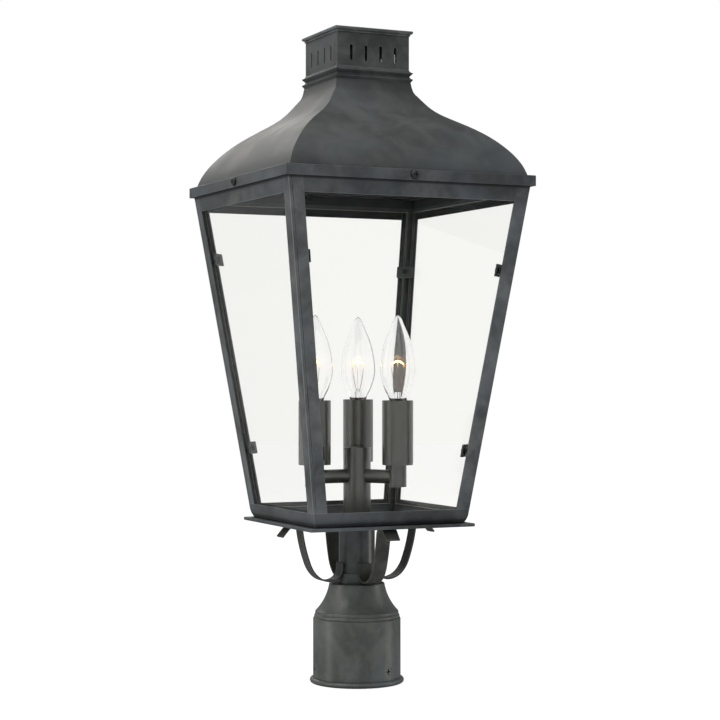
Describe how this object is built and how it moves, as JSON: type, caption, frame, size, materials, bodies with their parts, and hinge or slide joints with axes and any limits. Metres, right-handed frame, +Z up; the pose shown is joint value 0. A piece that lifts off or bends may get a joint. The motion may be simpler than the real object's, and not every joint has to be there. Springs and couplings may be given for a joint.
{
  "type": "post top lantern",
  "caption": "Square tapered glass lantern for the top of a round post, with an ogee roof, vented chimney, scroll straps, candle lamp cluster and slip-on fitter with set screws.",
  "frame": {"origin": "centre of the fitter's foot, on the axis of its post socket", "axes": "+Z up along the post, -Y towards the front pane, +X towards the right pane"},
  "size_m": [0.2522, 0.2522, 0.6118],
  "materials": {
    "zinc_frame": "satin, weathered",
    "zinc_roof": "satin, weathered",
    "zinc_fitter": "satin, weathered paint",
    "pane_glass": "clear",
    "dark_sheet": "satin",
    "dark_screws": "satin",
    "plated_steel": "zinc plated",
    "cluster_paint": "satin",
    "sleeve_paint": "satin, weathered",
    "lamp_glass": "clear",
    "lamp_brass": "bright",
    "filament_wire": "glowing",
    "socket_black": "moulded",
    "socket_metal": "plain",
    "lead_insulation": "plain"
  },
  "bodies": {
    "lantern": {"post_fitter": "zinc_fitter", "threaded_pipe": "plated_steel", "pipe_nuts": "plated_steel", "base_plate": "zinc_frame", "bottom_rails": "zinc_frame", "top_rails": "zinc_frame", "neck_tube": "zinc_frame", "stem_collar": "zinc_frame", "corner_post_front_left": "zinc_frame", "corner_post_front_right": "zinc_frame", "corner_post_back_right": "zinc_frame", "corner_post_back_left": "zinc_frame", "scroll_strap_front": "zinc_frame", "scroll_strap_right": "zinc_frame", "scroll_strap_back": "zinc_frame", "scroll_strap_left": "zinc_frame", "glass_pane_front": "pane_glass", "glass_pane_right": "pane_glass", "glass_pane_back": "pane_glass", "glass_pane_left": "pane_glass", "glass_clips": "dark_sheet", "clip_bosses": "dark_sheet", "clip_screws": "dark_screws", "column_tube": "cluster_paint", "column_cap": "cluster_paint", "side_arm_1": "cluster_paint", "side_arm_2": "cluster_paint", "side_arm_3": "cluster_paint", "socket_cup_1": "cluster_paint", "socket_cup_2": "cluster_paint", "socket_cup_3": "cluster_paint", "candle_sleeve_1": "sleeve_paint", "candle_sleeve_2": "sleeve_paint", "candle_sleeve_3": "sleeve_paint", "socket_bodies": "socket_black", "socket_screw_shells": "socket_metal", "socket_contacts": "socket_metal", "lead_wires": "lead_insulation"},
    "roof": {"roof_shell": "zinc_roof", "roof_skirt": "zinc_roof", "chimney_moulding": "zinc_roof", "chimney_box": "zinc_roof", "chimney_cap": "zinc_roof", "skirt_screws": "dark_screws", "skirt_nuts": "dark_screws"},
    "set_screw_1": {"set_screw_1": "dark_screws"},
    "set_screw_2": {"set_screw_2": "dark_screws"},
    "set_screw_3": {"set_screw_3": "dark_screws"},
    "lamp_1_travel": {"lamp_contact_1": "lamp_brass"},
    "lamp_1": {"lamp_glass_1": "lamp_glass", "lamp_base_1": "lamp_brass", "lamp_filament_1": "filament_wire"},
    "lamp_2_travel": {"lamp_contact_2": "lamp_brass"},
    "lamp_2": {"lamp_glass_2": "lamp_glass", "lamp_base_2": "lamp_brass", "lamp_filament_2": "filament_wire"},
    "lamp_3_travel": {"lamp_contact_3": "lamp_brass"},
    "lamp_3": {"lamp_glass_3": "lamp_glass", "lamp_base_3": "lamp_brass", "lamp_filament_3": "filament_wire"}
  },
  "joints": [
    {"name": "roof_lift", "type": "slide", "parent": "lantern", "child": "roof", "axis": [0, 0, 1], "range_m": [0, 0.12]},
    {"name": "set_screw_1_travel", "type": "slide", "parent": "lantern", "child": "set_screw_1", "axis": [0.632, 0.7749, 0], "range_m": [-0.001, 0.003]},
    {"name": "set_screw_2_travel", "type": "slide", "parent": "lantern", "child": "set_screw_2", "axis": [-0.9871, 0.1599, 0], "range_m": [-0.001, 0.003]},
    {"name": "set_screw_3_travel", "type": "slide", "parent": "lantern", "child": "set_screw_3", "axis": [0.3551, -0.9348, 0], "range_m": [-0.001, 0.003]},
    {"name": "lamp_1_rise", "type": "slide", "parent": "lantern", "child": "lamp_1_travel", "axis": [0, 0, 1], "range_m": [0, 0.01271]},
    {"name": "lamp_1_turn", "type": "hinge", "parent": "lamp_1_travel", "child": "lamp_1", "pos_m": [0.01951, 0.04, 0.2503], "axis": [0, 0, 1], "range_deg": [0, 1800]},
    {"name": "lamp_2_rise", "type": "slide", "parent": "lantern", "child": "lamp_2_travel", "axis": [0, 0, 1], "range_m": [0, 0.01271]},
    {"name": "lamp_2_turn", "type": "hinge", "parent": "lamp_2_travel", "child": "lamp_2", "pos_m": [-0.04439, -0.0031, 0.2503], "axis": [0, 0, 1], "range_deg": [0, 1800]},
    {"name": "lamp_3_rise", "type": "slide", "parent": "lantern", "child": "lamp_3_travel", "axis": [0, 0, 1], "range_m": [0, 0.01271]},
    {"name": "lamp_3_turn", "type": "hinge", "parent": "lamp_3_travel", "child": "lamp_3", "pos_m": [0.02488, -0.03689, 0.2503], "axis": [0, 0, 1], "range_deg": [0, 1800]}
  ],
  "couplings": [
    {"joint": "lamp_1_rise", "follows": "lamp_1_turn", "m_per_rad": 0.00040425},
    {"joint": "lamp_2_rise", "follows": "lamp_2_turn", "m_per_rad": 0.00040425},
    {"joint": "lamp_3_rise", "follows": "lamp_3_turn", "m_per_rad": 0.00040425}
  ]
}
